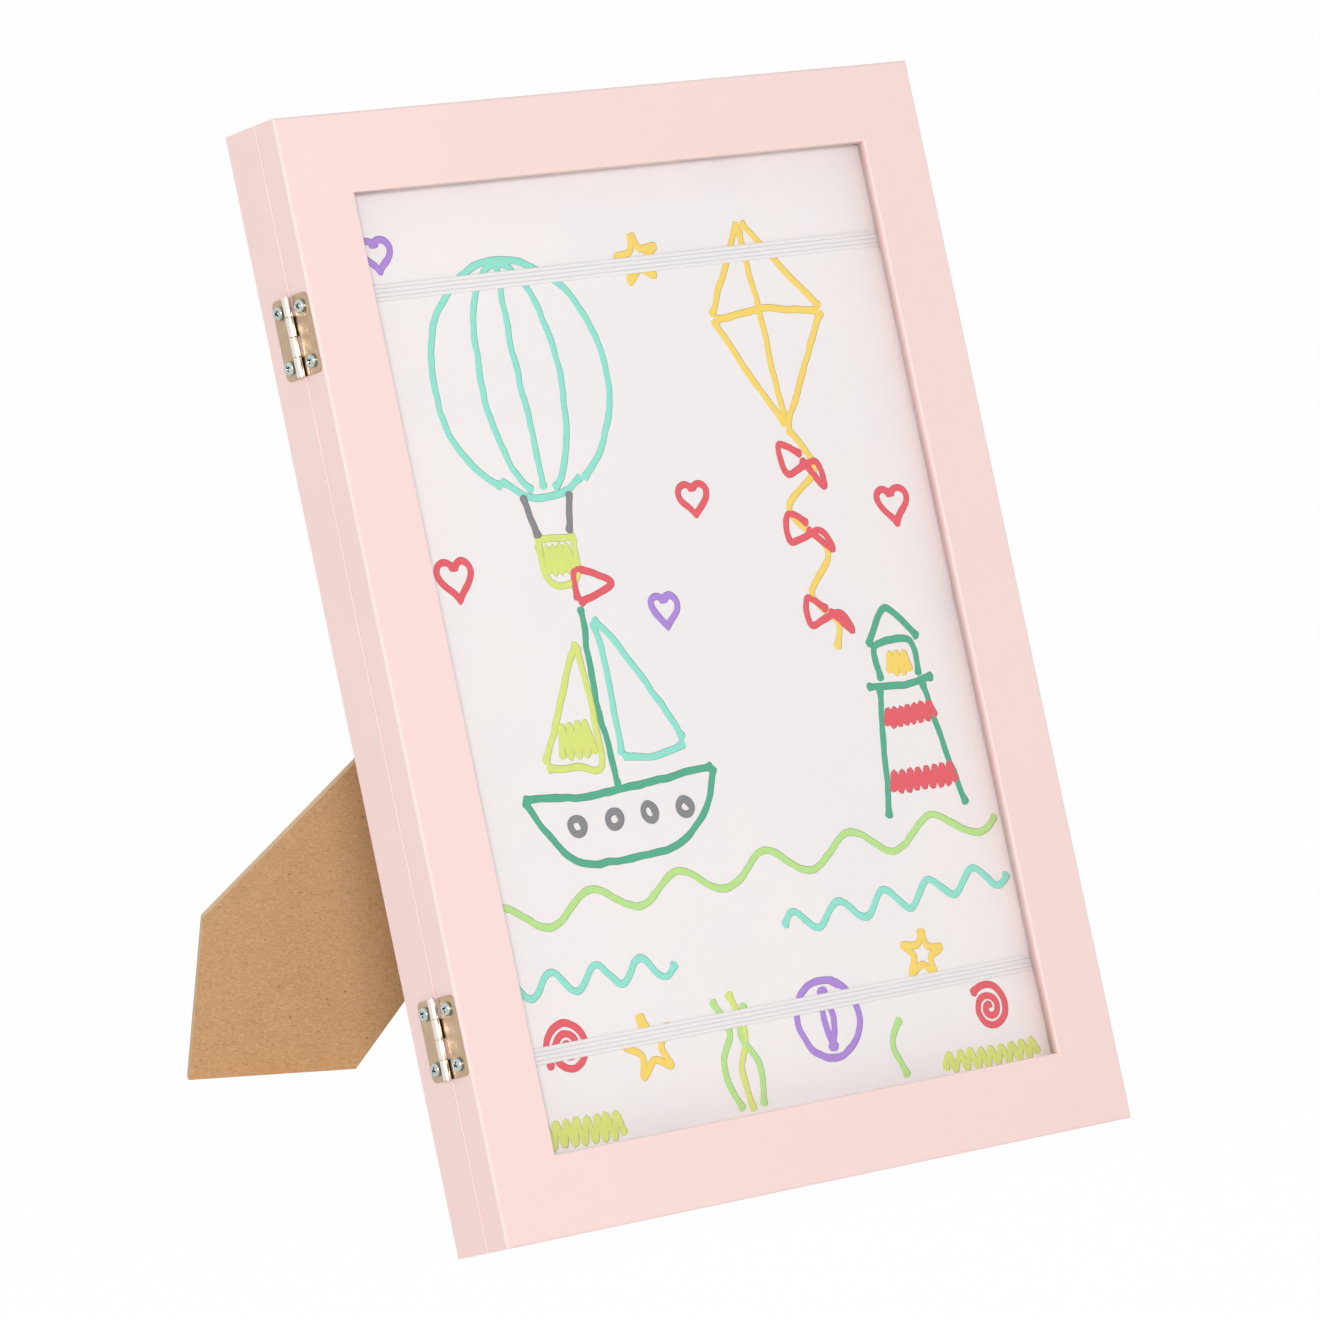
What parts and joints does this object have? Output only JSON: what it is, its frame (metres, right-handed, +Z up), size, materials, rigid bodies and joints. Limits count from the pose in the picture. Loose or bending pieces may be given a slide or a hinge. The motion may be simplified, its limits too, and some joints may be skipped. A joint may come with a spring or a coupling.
{
  "type": "front-opening picture frame",
  "caption": "Painted wooden frame for A4 drawings: a glazed door hinged on a shallow sheet box, elastic straps inside and a fibreboard easel leg behind.",
  "frame": {"origin": "on the floor, under the middle of the part's bounding box as it stands on its easel leg", "axes": "+Z up, +X to the viewer's right, +Y towards the easel leg; the glazed door faces -Y and leans back 23 degrees"},
  "size_m": [0.251, 0.2062, 0.3175],
  "materials": {
    "painted_wood": "satin pale pink paint on wood",
    "fibreboard": "raw brown fibreboard with fine fibres",
    "clear_pane": "clear polished acrylic",
    "drawing_paper": "matte white drawing paper",
    "elastic": "white ribbed elastic",
    "nickel_plate": "warm nickel plate on pressed steel",
    "zinc_screw": "bright zinc plate",
    "bare_steel": "plain bright steel",
    "brass_plate": "thin brass plate",
    "magnet": "nickel coated magnet"
  },
  "bodies": {
    "box": {"artwork_sheet": "drawing_paper", "back_leaf_rivets": "nickel_plate", "back_panel": "fibreboard", "back_panel_pins": "bare_steel", "box_bottom_rail": "painted_wood", "box_corner_nails": "bare_steel", "box_leaf_screws": "zinc_screw", "box_left_stile": "painted_wood", "box_right_stile": "painted_wood", "box_top_rail": "painted_wood", "catch_magnets": "magnet", "hanger_nails": "brass_plate", "hinge_pins": "nickel_plate", "landscape_hanger": "brass_plate", "leg_hinge_back_leaf": "nickel_plate", "leg_hinge_pin": "nickel_plate", "lower_elastic_strap": "elastic", "lower_hinge_box_leaf": "nickel_plate", "stored_sheets": "drawing_paper", "strap_staples": "bare_steel", "upper_elastic_strap": "elastic", "upper_hinge_box_leaf": "nickel_plate", "upright_hanger": "brass_plate"},
    "door": {"door_left_stile": "painted_wood", "door_right_stile": "painted_wood", "door_top_rail": "painted_wood", "door_bottom_rail": "painted_wood", "door_corner_nails": "bare_steel", "glazing_pane": "clear_pane", "glazing_points": "bare_steel", "catch_plates": "zinc_screw", "catch_plate_screws": "zinc_screw", "upper_hinge_door_leaf": "nickel_plate", "lower_hinge_door_leaf": "nickel_plate", "door_leaf_screws": "zinc_screw"},
    "leg": {"easel_leg": "fibreboard", "leg_hinge_leg_leaf": "nickel_plate", "leg_leaf_rivets": "nickel_plate"}
  },
  "joints": [
    {"name": "door_hinge", "type": "hinge", "parent": "box", "child": "door", "pos_m": [-0.12415, -0.02933, 0.15991], "axis": [0, -0.3907, -0.9205], "range_deg": [0, 150]},
    {"name": "leg_hinge", "type": "hinge", "parent": "box", "child": "leg", "pos_m": [0.02933, 0.00418, 0.19561], "axis": [-0.8988, 0.1713, 0.4035], "range_deg": [0, 43.3]}
  ]
}
